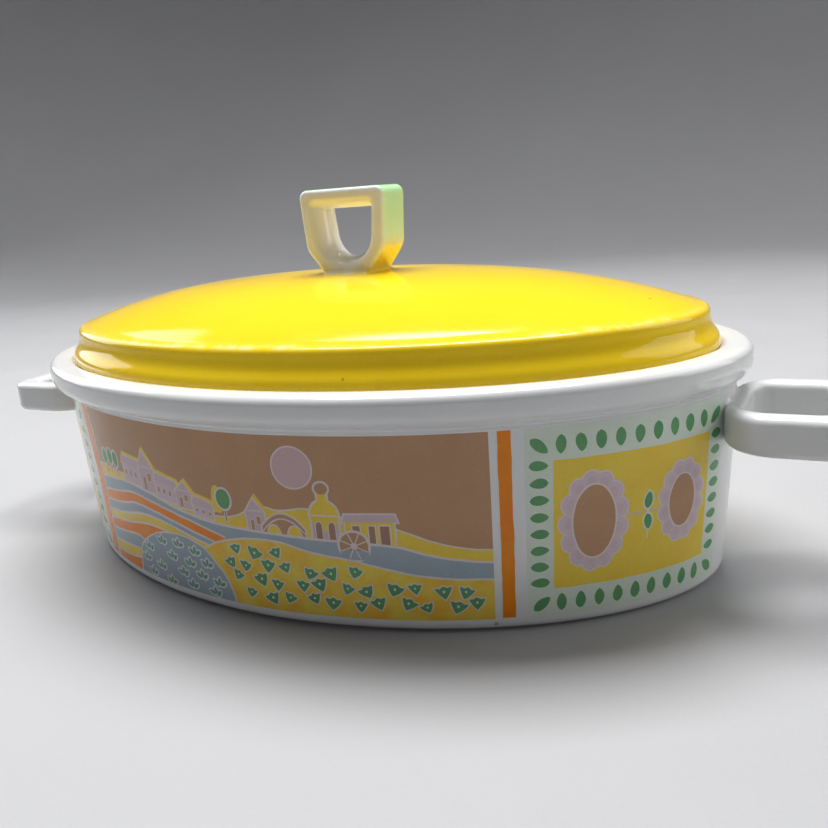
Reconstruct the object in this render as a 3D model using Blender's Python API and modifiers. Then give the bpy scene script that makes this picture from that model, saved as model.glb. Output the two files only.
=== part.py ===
"""Oval covered casserole dish: a deep oval dish with a broad rim, two loop handles luted to its
ends, and a domed lid with an upright loop on top.

Frame: origin at the centre of the foot on the table, +X along the long axis, +Z up.
The lengths below are millimetres and become metres where the meshes are made.
"""

import math

import bmesh
import bpy
from mathutils import Matrix

MM = 0.001

# Oval plan: a superellipse with this power, 2.0 being a true ellipse
RIM_LENGTH = 300.0
RIM_WIDTH = 194.0
OVAL_POWER = 1.94
OVAL_SEGMENTS = 60

# Dish heights
RIM_TOP = 83.0
BAND_MIDDLE = 77.0
BAND_FOOT = 73.0
BEAD_HEIGHT = 69.2
BEAD_STEP = 1.0
WALL_FOOT = 4.5
WALL_STEPS = (12.0, 22.0, 36.0, 52.0, 68.4)
INNER_WALL_STEPS = (52.0, 34.0, 15.5)
FLOOR_HEIGHT = 6.5
FOOT_RECESS = 2.0

# Dish insets: how far a surface stands in from the rim's outermost oval
BAND_FOOT_INSET = 3.4
COVE_INSET = 7.0
BEAD_INSET = 6.2
WALL_TOP_INSET = 6.6
WALL_FOOT_INSET = 10.3
WALL_BOW = 1.5
FOOT_OUTER_INSET = 13.0
FOOT_INNER_INSET = 17.5
FOOT_RECESS_INSET = 20.0
WALL_THICKNESS = 5.0
FLOOR_FILLET = 9.0
RIM_RADIUS = 3.0
RIM_FALL = 0.2

# Gallery: the ledge inside the rim that carries the lid
LEDGE_HEIGHT = 81.2
LEDGE_OUTER_INSET = 10.3
CREST_FALL = 2.6
MOUTH_INSET = 16.0
MOUTH_RADIUS = 1.0
MOUTH_FOOT = 77.6
LEDGE_FOOT = 73.0

# Lid
LID_SEAT = 81.5
FLANGE_INSET = 10.8
FLANGE_LEAN = 0.4
LID_EDGE = 0.8
LID_BAND_INSET = 14.4
FLANGE_TOP = 84.8
COVE_TOP = 90.0
SHOULDER_FOOT = 93.0
SHOULDER_RADIUS = 2.5
DOME_RISE = 15.7
DOME_POWER = 2.5
LID_THICKNESS = 4.5
LOCATING_RING_FOOT = 76.5
LOCATING_RING_OUTER_INSET = 17.4
LOCATING_RING_INNER_INSET = 21.8
DOME_STEPS = (1.0, 0.95, 0.88, 0.78, 0.66, 0.52, 0.38, 0.25)
SEAT_SHARE = 0.13

# Upright loop on the lid
LOOP_TOP = 143.8
LOOP_TOP_HALF_WIDTH = 18.5
LOOP_WAIST_HALF_WIDTH = 16.9
LOOP_WAIST = 120.6
LOOP_FOOT_HALF_WIDTH = 10.3
LOOP_DEPTH = 18.4
LOOP_CORNER = 1.8
EYE_TOP = 139.7
EYE_TOP_HALF_WIDTH = 13.6
EYE_RADIUS = 12.4
EYE_CENTRE = 127.6
LOOP_EDGE = 1.1

# Side handles
GRIP_END = 184.5
GRIP_HALF_WIDTH = 29.0
GRIP_BAR = 9.0
GRIP_TOP = 65.2
GRIP_FOOT = 52.0
GRIP_END_RADIUS = 10.0
GRIP_ROOT_RADIUS = 17.5
GRIP_ROOT_X = 142.5
GRIP_EYE_X = 148.6
GRIP_EYE_ROOT_RADIUS = 8.0
GRIP_EYE_END_RADIUS = 4.5
GRIP_BURIED_X = 132.0
GRIP_EDGE = 2.6

# Air between neighbouring pieces, and how the meshes are finished
GAP = 0.3
CUTTER_MARGIN = 3.0
SMOOTH_ANGLE = 35.0
EDGE_ANGLE = 50.0
WELD = 0.01


def clear_scene():
    for item in list(bpy.data.objects):
        bpy.data.objects.remove(item, do_unlink=True)


def new_collection(name):
    collection = bpy.data.collections.new(name)
    bpy.context.scene.collection.children.link(collection)
    return collection


def glaze(name, colour, roughness):
    material = bpy.data.materials.new(name)
    material.use_nodes = True
    shader = material.node_tree.nodes["Principled BSDF"]
    shader.inputs["Base Color"].default_value = (*colour, 1.0)
    shader.inputs["Roughness"].default_value = roughness
    shader.inputs["Metallic"].default_value = 0.0
    return material


def arc(centre, radius, start, end, steps):
    """Points of a circular arc, its angles in degrees."""
    points = []
    for step in range(steps + 1):
        angle = math.radians(start + (end - start) * step / steps)
        points.append((centre[0] + radius * math.cos(angle), centre[1] + radius * math.sin(angle)))
    return points


def oval_point(half_length, half_width, angle):
    cosine = math.cos(angle)
    sine = math.sin(angle)
    power = 2.0 / OVAL_POWER
    x = half_length * math.copysign(abs(cosine) ** power, cosine)
    y = half_width * math.copysign(abs(sine) ** power, sine)
    return x, y


def oval_ring(bm, half_length, half_width, height):
    ring = []
    for step in range(OVAL_SEGMENTS):
        x, y = oval_point(half_length, half_width, 2.0 * math.pi * step / OVAL_SEGMENTS)
        ring.append(bm.verts.new((x * MM, y * MM, height * MM)))
    return ring


def inset_ring(bm, inset, height):
    """The rim's oval moved in all round by the same amount."""
    return oval_ring(bm, RIM_LENGTH / 2 - inset, RIM_WIDTH / 2 - inset, height)


def skin(bm, rings):
    """Quads between neighbouring rings, and a flat face closing the first and the last."""
    for low, high in zip(rings, rings[1:]):
        for step in range(OVAL_SEGMENTS):
            after = (step + 1) % OVAL_SEGMENTS
            bm.faces.new((low[step], low[after], high[after], high[step]))
    bm.faces.new(rings[0])
    bm.faces.new(rings[-1])
    bmesh.ops.recalc_face_normals(bm, faces=bm.faces)


def mesh_object(name, bm, material, collection, origin=(0.0, 0.0, 0.0)):
    """Finish a bmesh as a smooth-shaded object whose origin, in metres, is the given point."""
    bmesh.ops.translate(bm, verts=bm.verts, vec=[-value for value in origin])
    mesh = bpy.data.meshes.new(name)
    bm.to_mesh(mesh)
    bm.free()
    mesh.materials.append(material)
    mesh.shade_smooth()
    mesh.set_sharp_from_angle(angle=math.radians(SMOOTH_ANGLE))
    item = bpy.data.objects.new(name, mesh)
    item.location = origin
    collection.objects.link(item)
    return item


def wall_inset(height):
    """The wall leans in towards the foot, a little faster lower down."""
    share = (BEAD_HEIGHT - height) / (BEAD_HEIGHT - WALL_FOOT)
    return WALL_TOP_INSET + (WALL_FOOT_INSET - WALL_TOP_INSET) * max(share, 0.0) ** WALL_BOW


def bend(start, end, steps, flat_first):
    """A quarter of an ellipse from start to end, both as (inset, height), without its start."""
    points = []
    for step in range(1, steps + 1):
        angle = math.pi / 2 * step / steps
        early = 1.0 - math.cos(angle)
        late = math.sin(angle)
        across, up = (late, early) if flat_first else (early, late)
        points.append((start[0] + (end[0] - start[0]) * across, start[1] + (end[1] - start[1]) * up))
    return points


def foot_profile():
    """Recessed underside, foot ring and the rounded corner up to the wall."""
    points = [(FOOT_RECESS_INSET, FOOT_RECESS), (FOOT_INNER_INSET, 0.0), (FOOT_OUTER_INSET, 0.0)]
    points += bend(points[-1], (WALL_FOOT_INSET, WALL_FOOT), 3, True)
    return points


def outer_wall_profile():
    points = [(wall_inset(height), height) for height in WALL_STEPS]
    points.append((BEAD_INSET, BEAD_HEIGHT))
    return points


def rim_profile():
    """Cove under the rim, rounded band, broad top and the gallery ledge."""
    cove = (COVE_INSET, BEAD_HEIGHT + BEAD_STEP)
    band_foot = (BAND_FOOT_INSET, BAND_FOOT)
    points = [cove] + bend(cove, band_foot, 3, False)
    points += bend(band_foot, (0.0, BAND_MIDDLE), 4, True)
    points.append((0.0, RIM_TOP - RIM_RADIUS))
    points += bend(points[-1], (RIM_RADIUS, RIM_TOP), 4, False)
    crest_end = (LEDGE_OUTER_INSET - CREST_FALL, RIM_TOP - RIM_FALL)
    points += [crest_end] + bend(crest_end, (LEDGE_OUTER_INSET, LEDGE_HEIGHT), 2, True)
    points.append((MOUTH_INSET - MOUTH_RADIUS, LEDGE_HEIGHT))
    points += bend(points[-1], (MOUTH_INSET, LEDGE_HEIGHT - MOUTH_RADIUS), 2, True)
    points.append((MOUTH_INSET, MOUTH_FOOT))
    return points


def inside_profile():
    """Underside of the ledge, inner wall and the rounded corner down to the floor."""
    points = [(WALL_TOP_INSET + WALL_THICKNESS, LEDGE_FOOT)]
    points += [(wall_inset(height) + WALL_THICKNESS, height) for height in INNER_WALL_STEPS]
    corner = (points[-1][0] + FLOOR_FILLET, FLOOR_HEIGHT)
    points += bend(points[-1], corner, 4, False)
    return points


def build_dish(material, collection):
    bm = bmesh.new()
    profile = foot_profile() + outer_wall_profile() + rim_profile() + inside_profile()
    skin(bm, [inset_ring(bm, inset, height) for inset, height in profile])
    return mesh_object("dish_body", bm, material, collection)


def lid_edge_profile():
    """Locating ring, seat, flange, cove, upright band and rounded shoulder, from inside out."""
    ring_foot = LOCATING_RING_FOOT
    edge = LID_EDGE
    points = [(LOCATING_RING_INNER_INSET, ring_foot + edge)]
    points += [(LOCATING_RING_INNER_INSET - edge, ring_foot), (LOCATING_RING_OUTER_INSET + edge, ring_foot)]
    points += [(LOCATING_RING_OUTER_INSET, ring_foot + edge), (LOCATING_RING_OUTER_INSET, LID_SEAT)]
    points += [(FLANGE_INSET + edge, LID_SEAT), (FLANGE_INSET, LID_SEAT + edge)]
    flange_top = (FLANGE_INSET + FLANGE_LEAN, FLANGE_TOP)
    middle = ((flange_top[0] + LID_BAND_INSET) / 2, (FLANGE_TOP + COVE_TOP) / 2)
    points += [flange_top] + bend(flange_top, middle, 2, False)
    points += bend(middle, (LID_BAND_INSET, COVE_TOP), 2, True)
    points.append((LID_BAND_INSET, SHOULDER_FOOT))
    shoulder = (LID_BAND_INSET + SHOULDER_RADIUS, SHOULDER_FOOT + SHOULDER_RADIUS)
    points += bend(points[-1], shoulder, 4, False)[:-1]
    return points


def dome_rings(bm, inset, base, shares):
    """Ovals of the dome between its edge, share 1, and its centre, share 0."""
    rings = []
    for share in shares:
        height = base + DOME_RISE * (1.0 - share ** DOME_POWER)
        half_length = (RIM_LENGTH / 2 - inset) * share
        half_width = (RIM_WIDTH / 2 - inset) * share
        rings.append(oval_ring(bm, half_length, half_width, height))
    return rings


def build_lid(material, collection):
    bm = bmesh.new()
    shares = DOME_STEPS + (SEAT_SHARE,)
    dome_base = SHOULDER_FOOT + SHOULDER_RADIUS
    inside = dome_rings(bm, LOCATING_RING_INNER_INSET, dome_base - LID_THICKNESS, shares)
    edge = [inset_ring(bm, inset, height) for inset, height in lid_edge_profile()]
    outside = dome_rings(bm, LID_BAND_INSET + SHOULDER_RADIUS, dome_base, shares)
    skin(bm, inside[::-1] + edge + outside)
    return mesh_object("lid_shell", bm, material, collection, (0.0, 0.0, LID_SEAT * MM))


def flat_outline(name, outlines, half_thickness):
    """A filled 2D curve through closed outlines, extruded to both sides of its plane."""
    curve = bpy.data.curves.new(name, "CURVE")
    curve.dimensions = "2D"
    curve.fill_mode = "BOTH"
    curve.extrude = half_thickness * MM
    for outline in outlines:
        spline = curve.splines.new("POLY")
        spline.points.add(len(outline) - 1)
        for point, (x, y) in zip(spline.points, outline):
            point.co = (x * MM, y * MM, 0.0, 1.0)
        spline.use_cyclic_u = True
    return bpy.data.objects.new(name, curve)


def plate_mesh(name, outlines, half_thickness):
    """The extruded outline as one closed bmesh."""
    guide = flat_outline(name + "_outline", outlines, half_thickness)
    bpy.context.scene.collection.objects.link(guide)
    evaluated = guide.evaluated_get(bpy.context.evaluated_depsgraph_get())
    mesh = bpy.data.meshes.new_from_object(evaluated)
    bm = bmesh.new()
    bm.from_mesh(mesh)
    bpy.data.meshes.remove(mesh)
    bpy.data.objects.remove(guide, do_unlink=True)
    bmesh.ops.remove_doubles(bm, verts=bm.verts, dist=WELD * MM)
    bmesh.ops.recalc_face_normals(bm, faces=bm.faces)
    return bm


def mirrored(half):
    """A closed outline from its upper half, which runs from the symmetry line back to it."""
    return half + [(x, -y) for x, y in reversed(half)]


def lid_loop_outlines():
    """Front view of the upright loop, x across and y up: the outside and the D-shaped eye."""
    outer = [(LOOP_FOOT_HALF_WIDTH, lid_top()), (LOOP_WAIST_HALF_WIDTH, LOOP_WAIST)]
    outer += arc((LOOP_TOP_HALF_WIDTH - LOOP_CORNER, LOOP_TOP - LOOP_CORNER), LOOP_CORNER, 0, 90, 3)
    outer += [(-x, y) for x, y in reversed(outer)]
    eye = [(EYE_TOP_HALF_WIDTH, EYE_TOP), (-EYE_TOP_HALF_WIDTH, EYE_TOP)]
    eye += arc((0.0, EYE_CENTRE), EYE_RADIUS, 180, 360, 14)
    return outer, eye


def lid_top():
    return SHOULDER_FOOT + SHOULDER_RADIUS + DOME_RISE * (1.0 - SEAT_SHARE ** DOME_POWER) + GAP


def soften(item, width, segments):
    bevel = item.modifiers.new("soft_edges", "BEVEL")
    bevel.width = width * MM
    bevel.segments = segments
    bevel.limit_method = "ANGLE"
    bevel.angle_limit = math.radians(EDGE_ANGLE)


def build_lid_loop(material, collection):
    bm = plate_mesh("lid_handle", lid_loop_outlines(), LOOP_DEPTH / 2)
    bmesh.ops.rotate(bm, verts=bm.verts, matrix=Matrix.Rotation(math.radians(90), 3, "X"))
    item = mesh_object("lid_handle", bm, material, collection, (0.0, 0.0, lid_top() * MM))
    soften(item, LOOP_EDGE, 2)
    return item


def grip_outlines():
    """Plan of a side handle on the +X end: a rounded loop on a short neck."""
    root = (GRIP_ROOT_X + GRIP_ROOT_RADIUS, GRIP_HALF_WIDTH - GRIP_ROOT_RADIUS)
    end = (GRIP_END - GRIP_END_RADIUS, GRIP_HALF_WIDTH - GRIP_END_RADIUS)
    outer = [(GRIP_BURIED_X, root[1])] + arc(root, GRIP_ROOT_RADIUS, 180, 90, 9)
    outer += arc(end, GRIP_END_RADIUS, 90, 0, 6)
    eye_side = GRIP_HALF_WIDTH - GRIP_BAR
    eye_end = GRIP_END - GRIP_BAR
    eye_root = (GRIP_EYE_X + GRIP_EYE_ROOT_RADIUS, eye_side - GRIP_EYE_ROOT_RADIUS)
    eye_tip = (eye_end - GRIP_EYE_END_RADIUS, eye_side - GRIP_EYE_END_RADIUS)
    eye = arc(eye_root, GRIP_EYE_ROOT_RADIUS, 180, 90, 6)
    eye += arc(eye_tip, GRIP_EYE_END_RADIUS, 90, 0, 5)
    return mirrored(outer), mirrored(eye)


def build_wall_cutter(collection):
    """The dish's wall grown by the gap, which trims the necks of the side handles."""
    bm = bmesh.new()
    heights = (GRIP_FOOT - CUTTER_MARGIN, (GRIP_FOOT + GRIP_TOP) / 2, GRIP_TOP + CUTTER_MARGIN)
    skin(bm, [inset_ring(bm, wall_inset(height) - GAP, height) for height in heights])
    cutter = mesh_object("wall_cutter", bm, glaze("cutter", (0.5, 0.5, 0.5), 0.5), collection)
    cutter.hide_render = True
    cutter.display_type = "WIRE"
    return cutter


def build_grip(name, side, cutter, material, collection):
    """One side handle, turned half a turn about the dish's axis for the -X end."""
    bm = plate_mesh(name, grip_outlines(), (GRIP_TOP - GRIP_FOOT) / 2)
    middle = (GRIP_TOP + GRIP_FOOT) / 2
    bmesh.ops.translate(bm, verts=bm.verts, vec=(0.0, 0.0, middle * MM))
    item = mesh_object(name, bm, material, collection, (GRIP_ROOT_X * MM, 0.0, middle * MM))
    item.location.x *= side
    item.rotation_euler.z = 0.0 if side > 0 else math.pi
    soften(item, GRIP_EDGE, 3)
    trim = item.modifiers.new("wall_fit", "BOOLEAN")
    trim.operation = "DIFFERENCE"
    trim.solver = "EXACT"
    trim.object = cutter
    return item


def build_casserole():
    clear_scene()
    parts = new_collection("covered_casserole")
    cutters = new_collection("cutters")
    lift = bpy.data.objects.new("lid_lift_axis", None)
    lift.location = (0.0, 0.0, LID_SEAT * MM)
    parts.objects.link(lift)

    build_dish(glaze("dish_white_glaze", (0.86, 0.87, 0.86), 0.12), parts)
    lid = build_lid(glaze("lid_yellow_glaze", (0.90, 0.74, 0.03), 0.08), parts)
    loop = build_lid_loop(glaze("loop_pale_glaze", (0.86, 0.90, 0.80), 0.10), parts)
    cutter = build_wall_cutter(cutters)
    right = glaze("right_handle_white_glaze", (0.84, 0.85, 0.85), 0.12)
    left = glaze("left_handle_white_glaze", (0.84, 0.85, 0.85), 0.12)
    build_grip("side_handle_right", 1, cutter, right, parts)
    build_grip("side_handle_left", -1, cutter, left, parts)

    bpy.context.view_layer.update()
    for item in (lid, loop):
        item.parent = lift
        item.matrix_parent_inverse = lift.matrix_world.inverted()


build_casserole()
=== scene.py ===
from math import acos, atan2, ceil, cos, degrees, pi, radians, sin, tan

import bpy
import numpy as np
from mathutils import Matrix, Vector, noise
from mathutils.geometry import delaunay_2d_cdt


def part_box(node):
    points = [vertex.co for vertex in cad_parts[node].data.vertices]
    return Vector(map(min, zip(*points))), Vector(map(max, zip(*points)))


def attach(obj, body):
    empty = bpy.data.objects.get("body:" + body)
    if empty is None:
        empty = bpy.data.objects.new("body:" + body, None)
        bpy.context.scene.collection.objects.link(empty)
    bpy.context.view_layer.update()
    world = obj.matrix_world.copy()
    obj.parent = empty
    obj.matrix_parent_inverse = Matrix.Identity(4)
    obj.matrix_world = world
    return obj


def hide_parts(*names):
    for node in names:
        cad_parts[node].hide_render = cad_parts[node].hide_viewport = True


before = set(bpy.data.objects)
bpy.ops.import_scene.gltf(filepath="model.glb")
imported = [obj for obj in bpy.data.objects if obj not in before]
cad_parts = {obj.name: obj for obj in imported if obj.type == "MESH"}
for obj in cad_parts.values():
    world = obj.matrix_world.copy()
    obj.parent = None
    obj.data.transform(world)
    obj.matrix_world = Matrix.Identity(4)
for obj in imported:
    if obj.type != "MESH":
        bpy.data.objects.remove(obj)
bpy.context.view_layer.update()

# Looks of the covered casserole: the white dish, its printed panels, the yellow lid and the loops.
# Lengths are millimetres until the meshes are made. The print is drawn on the wall laid flat:
# u runs along the oval from the middle of the front towards +X, z is the height.

MM = 0.001

# ---- sizes read from the frame


def box_mm(node):
    low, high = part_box(node)
    return Vector(low) / MM, Vector(high) / MM


_, DISH_HIGH = box_mm("dish_body")
LID_LOW, LID_HIGH = box_mm("lid_shell")
LOOP_LOW, LOOP_HIGH = box_mm("lid_handle")
GRIP_LOW, GRIP_HIGH = box_mm("side_handle_right")

HALF_LENGTH = DISH_HIGH.x
HALF_WIDTH = DISH_HIGH.y
RIM_TOP = DISH_HIGH.z
RING_FOOT = LID_LOW.z
DOME_TOP = LID_HIGH.z

# ---- driving dimensions

OVAL_POWER = 1.94
WALL_POWER = 1.88
END_FULLNESS = 1.2
OVAL_CHANGE_TOP = 74.0
OVAL_CHANGE = 3.4
MEAN_WALL_INSET = 8.0
AROUND = 240
HALF_TURN = 4000
WALL_FOOT = 4.5
BEAD_HEIGHT = 69.2
WALL_TOP_INSET = 6.6
WALL_FOOT_INSET = 10.3
WALL_BOW = 1.5
WALL_THICKNESS = 5.0
LEDGE_HEIGHT = 81.2
LEDGE_INSET = 16.0
FLOOR_HEIGHT = 6.5
PRINT_LIFT = 0.03

SHOULDER_HEIGHT = 95.5
SHOULDER_INSET = 16.9
DOME_POWER = 2.85
LID_THICKNESS = 4.5
RING_INSET = 21.8
FLANGE_HEIGHT = 81.5
COVE_HEIGHT = 90.0

LOOP_FOOT = 10.3
LOOP_SPREAD = 0.7
LOOP_EDGE = 1.6
EYE_CROWN = 3.0
EYE_RADIUS = 13.0
GRIP_ROOT = 141.4
GRIP_NECK = 11.5
GRIP_SHOULDER = 17.5
GRIP_BAR = 9.0
GRIP_EDGE = 2.6
FILLET_REACH = 2.2

# ---- outlines and profiles


def unit(rows):
    return rows / (np.linalg.norm(rows, axis=-1, keepdims=True) + 1e-9)


def spline(points, spacing=1.2):
    """A smooth curve through the points, as a dense list of points."""
    p = np.array([points[0], *points, points[-1]], float)
    out = [p[1]]
    for a, b, c, d in zip(p, p[1:], p[2:], p[3:]):
        steps = max(2, int(np.linalg.norm(c - b) / spacing))
        for t in np.arange(1, steps + 1) / steps:
            out.append(0.5 * (2 * b + (c - a) * t + (2 * a - 5 * b + 4 * c - d) * t * t
                              + (3 * b - a - 3 * c + d) * t ** 3))
    return np.array(out)


def filleted(corners, closed=False, step=9.0):
    """A path through corners given as (x, y, radius), each rounded by an arc in steps of some degrees."""
    count = len(corners)
    out = []
    for i, (x, y, radius) in enumerate(corners):
        here = np.array((x, y))
        if radius == 0 or (not closed and i in (0, count - 1)):
            out.append(here)
            continue
        back = unit(np.array(corners[i - 1][:2]) - here)
        ahead = unit(np.array(corners[(i + 1) % count][:2]) - here)
        half = acos(max(-1.0, min(1.0, float(back @ ahead)))) / 2
        if half > radians(89):
            out.append(here)
            continue
        centre = here + unit(back + ahead) * radius / sin(half)
        first = here + back * radius / tan(half) - centre
        last = here + ahead * radius / tan(half) - centre
        start = atan2(first[1], first[0])
        turn = (atan2(last[1], last[0]) - start + pi) % (2 * pi) - pi
        steps = max(2, int(abs(degrees(turn)) / step))
        for t in np.arange(steps + 1) / steps:
            a = start + turn * t
            out.append(centre + radius * np.array((cos(a), sin(a))))
    return np.array(out)


def subdivided(path, longest):
    """The same path with points added where two are further apart than the given length."""
    out = [path[0]]
    for a, b in zip(path, path[1:]):
        steps = max(1, ceil(np.linalg.norm(b - a) / longest))
        out += [a + (b - a) * t for t in np.arange(1, steps + 1) / steps]
    return np.array(out)


def wall_inset(z):
    """How far the outside of the wall stands in from the rim's widest line at a height."""
    share = np.clip((BEAD_HEIGHT - z) / (BEAD_HEIGHT - WALL_FOOT), 0.0, None)
    return WALL_TOP_INSET + (WALL_FOOT_INSET - WALL_TOP_INSET) * share ** WALL_BOW


# ---- the oval plan


def signed_power(value, power):
    return np.sign(value) * np.abs(value) ** power


def unit_oval(angle, power):
    """Superellipse of half-sizes 1, angle 0 at the middle of the front (-Y) and growing towards +X."""
    return signed_power(np.sin(angle), 2 / power), -signed_power(np.cos(angle), 2 / power)


# Arc length round the wall, from one turn back to one turn on, so that u can run past the back.
WALL_LENGTH = HALF_LENGTH - MEAN_WALL_INSET + END_FULLNESS
WALL_WIDTH = HALF_WIDTH - MEAN_WALL_INSET
ANGLES = np.linspace(-2 * pi, 2 * pi, 4 * HALF_TURN + 1)
_x, _y = unit_oval(ANGLES, WALL_POWER)
ARC = np.concatenate([[0], np.cumsum(np.hypot(np.diff(_x * WALL_LENGTH), np.diff(_y * WALL_WIDTH)))])
ARC -= ARC[2 * HALF_TURN]
GIRTH = ARC[3 * HALF_TURN] - ARC[HALF_TURN]


def oval_points(u, inset, z, share=1.0):
    """Points at arc length u. The rim's oval gives way below it to the wall's, fuller at its ends."""
    wall = np.clip((OVAL_CHANGE_TOP - z) / OVAL_CHANGE, 0.0, 1.0)
    x, y = unit_oval(np.interp(u, ARC, ANGLES), OVAL_POWER + (WALL_POWER - OVAL_POWER) * wall)
    half_length = HALF_LENGTH - inset + END_FULLNESS * wall
    return np.stack([x * half_length * share, y * (HALF_WIDTH - inset) * share, z + 0.0 * x], axis=1)


def wall_normal(u):
    """Outward normal, in plan, of the wall at arc length u."""
    x, y = unit_oval(np.interp(u, ARC, ANGLES), WALL_POWER)
    nx = signed_power(x, WALL_POWER - 1) / WALL_LENGTH
    ny = signed_power(y, WALL_POWER - 1) / WALL_WIDTH
    return unit(np.stack([nx, ny], axis=1))


def on_wall(u, z, lift):
    """Points on the outside of the wall, pushed out by the lift, with their normals."""
    slope = wall_inset(z + 0.5) - wall_inset(z - 0.5)
    normals = unit(np.column_stack([wall_normal(u), slope]))
    return oval_points(u, wall_inset(z), z) + normals * lift, normals


def wall_reach(y, z):
    """How far the wall stands out along X at the given y and height."""
    inset = float(wall_inset(z))
    share = (abs(y) / (HALF_WIDTH - inset)) ** WALL_POWER
    return (HALF_LENGTH - inset + END_FULLNESS) * (1 - share) ** (1 / WALL_POWER)


# ---- meshes


def linked(name, data):
    """A new object with this data, put in the scene."""
    item = bpy.data.objects.new(name, data)
    bpy.context.scene.collection.objects.link(item)
    return item


def mesh_object(name, points, faces, material, attributes=None):
    """A smooth-shaded object from points in millimetres."""
    mesh = bpy.data.meshes.new(name)
    mesh.from_pydata((np.asarray(points, float) * MM).tolist(), [], [list(map(int, f)) for f in faces])
    for key, values in (attributes or {}).items():
        layer = mesh.attributes.new(key, "FLOAT", "POINT")
        layer.data.foreach_set("value", np.asarray(values, np.float32))
    mesh.materials.append(material)
    mesh.shade_smooth()
    mesh.validate()
    return linked(name, mesh)


def mesh_piece(name, points, faces, material, body, replaces=None, attributes=None):
    """A mesh riding on a CAD body, which takes the place of a CAD solid where one is named."""
    item = mesh_object(name, points, faces, material, attributes)
    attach(item, body)
    if replaces:
        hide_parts(replaces)
    return item


def strip(rings, closed=False):
    """Points and faces of a skin over rings of equal length, closed if the last ring meets the first."""
    count = len(rings[0])
    faces = []
    for low in range(len(rings) if closed else len(rings) - 1):
        high = (low + 1) % len(rings)
        for k in range(count):
            after = (k + 1) % count
            faces.append((low * count + k, low * count + after, high * count + after, high * count + k))
    return [p for ring in rings for p in ring], faces


def capped(rings):
    """A strip whose first and last rings are each closed on a point."""
    points, faces = strip(rings)
    count = len(rings[0])
    for ring, flip in ((0, True), (len(rings) - 1, False)):
        points.append(np.mean(rings[ring], axis=0))
        for k in range(count):
            a, b = ring * count + k, ring * count + (k + 1) % count
            faces.append((b, a, len(points) - 1) if flip else (a, b, len(points) - 1))
    return points, faces


def ring_numbers(rings):
    """For each point of a capped strip, the number of its ring; the two end points count as the last."""
    return np.minimum(np.arange(len(rings) * AROUND + 2) // AROUND, len(rings) - 1)


STATIONS = np.arange(AROUND) * GIRTH / AROUND


def profile_rings(profile):
    """The ovals through a cross-section's points, each given as its inset from the rim and its height."""
    return [oval_points(STATIONS, inset, z) for inset, z in profile]


def shrinking_rings(inset, z, shares, height):
    """Ovals between the one at the inset, share 1, and the centre; height gives z for a share."""
    return [oval_points(STATIONS, inset, z + height(share), share) for share in shares]


# ---- materials

# The yellow and the print reflect less than the white glaze, as in the photo.
GLAZE_IOR = 1.52
YELLOW_IOR = 1.34
PRINT_IOR = 1.33


class Nodes:
    """Short names for building a material's node tree."""

    def __init__(self, name):
        self.material = bpy.data.materials.new(name)
        self.material.use_nodes = True
        self.tree = self.material.node_tree
        self.shader = self.tree.nodes["Principled BSDF"]
        self.place = self.add("TexCoord").outputs["Object"]

    def put(self, socket, value):
        """Gives a socket a node's output or a constant; a colour comes as three numbers."""
        if isinstance(value, bpy.types.NodeSocket):
            self.tree.links.new(value, socket)
        else:
            socket.default_value = (*value, 1.0) if socket.type == "RGBA" else value

    def add(self, kind, inputs=None, **settings):
        """A shader node of some kind, its settings made before its inputs are given."""
        made = self.tree.nodes.new("ShaderNode" + kind)
        for key, value in settings.items():
            setattr(made, key, value)
        for key, value in (inputs or {}).items():
            self.put(made.inputs[key], value)
        return made

    def noise(self, size_mm, detail=3.0, roughness=0.55, stretch=None, distortion=0.0):
        """Noise whose blobs are about size_mm across, as a value near 0.5."""
        place = self.place
        if stretch:
            place = self.add("Mapping", {"Vector": place, "Scale": stretch}).outputs[0]
        inputs = {"Vector": place, "Scale": 1 / (size_mm * MM), "Detail": detail, "Roughness": roughness,
                  "Distortion": distortion}
        return self.add("TexNoise", inputs).outputs["Fac"]

    def cells(self, size_mm):
        """A node that cuts space into cells about size_mm across, each with a point in it."""
        return self.add("TexVoronoi", {"Vector": self.place, "Scale": 1 / (size_mm * MM)})

    def ramp(self, value, low, high, out_low=0.0, out_high=1.0):
        inputs = {"Value": value, "From Min": low, "From Max": high, "To Min": out_low, "To Max": out_high}
        return self.add("MapRange", inputs).outputs["Result"]

    def math(self, operation, a, b):
        return self.add("Math", {0: a, 1: b}, operation=operation).outputs[0]

    def plus(self, a, b):
        return self.math("ADD", a, b)

    def times(self, a, b):
        return self.math("MULTIPLY", a, b)

    def mix(self, share, a, b):
        return self.add("Mix", {0: share, 6: a, 7: b}, data_type="RGBA").outputs[2]

    def attribute(self, name):
        return self.add("Attribute", attribute_name=name).outputs["Fac"]

    def surface(self, colour, roughness, height, strength, distance_mm, ior=GLAZE_IOR):
        bump = self.add("Bump", {"Height": height, "Strength": strength, "Distance": distance_mm * MM})
        for key, value in (("Base Color", colour), ("Roughness", roughness),
                           ("Normal", bump.outputs[0]), ("IOR", ior)):
            self.put(self.shader.inputs[key], value)
        return self.material


def glaze_relief(n):
    """Height of a fired glaze: slow waves, a fine orange peel and rare pinholes."""
    height = n.plus(n.noise(34, 1.5), n.times(n.noise(2.6, 2.0), 0.035))
    pinholes = n.ramp(n.cells(21).outputs["Distance"], 0.0, 0.018, 0.12, 0.0)
    return n.math("SUBTRACT", height, pinholes)


def glaze_roughness(n, base):
    """Gloss with faint wiping marks and rubbed spots."""
    wiped = n.noise(26, 4.0, 0.6, stretch=(1.0, 1.0, 3.0))
    smudge = n.noise(9, 5.0, 0.65, distortion=1.5)
    value = n.plus(n.ramp(wiped, 0.35, 0.75, -0.02, 0.035), base)
    return n.plus(value, n.ramp(smudge, 0.56, 0.72, 0.0, 0.05))


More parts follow.
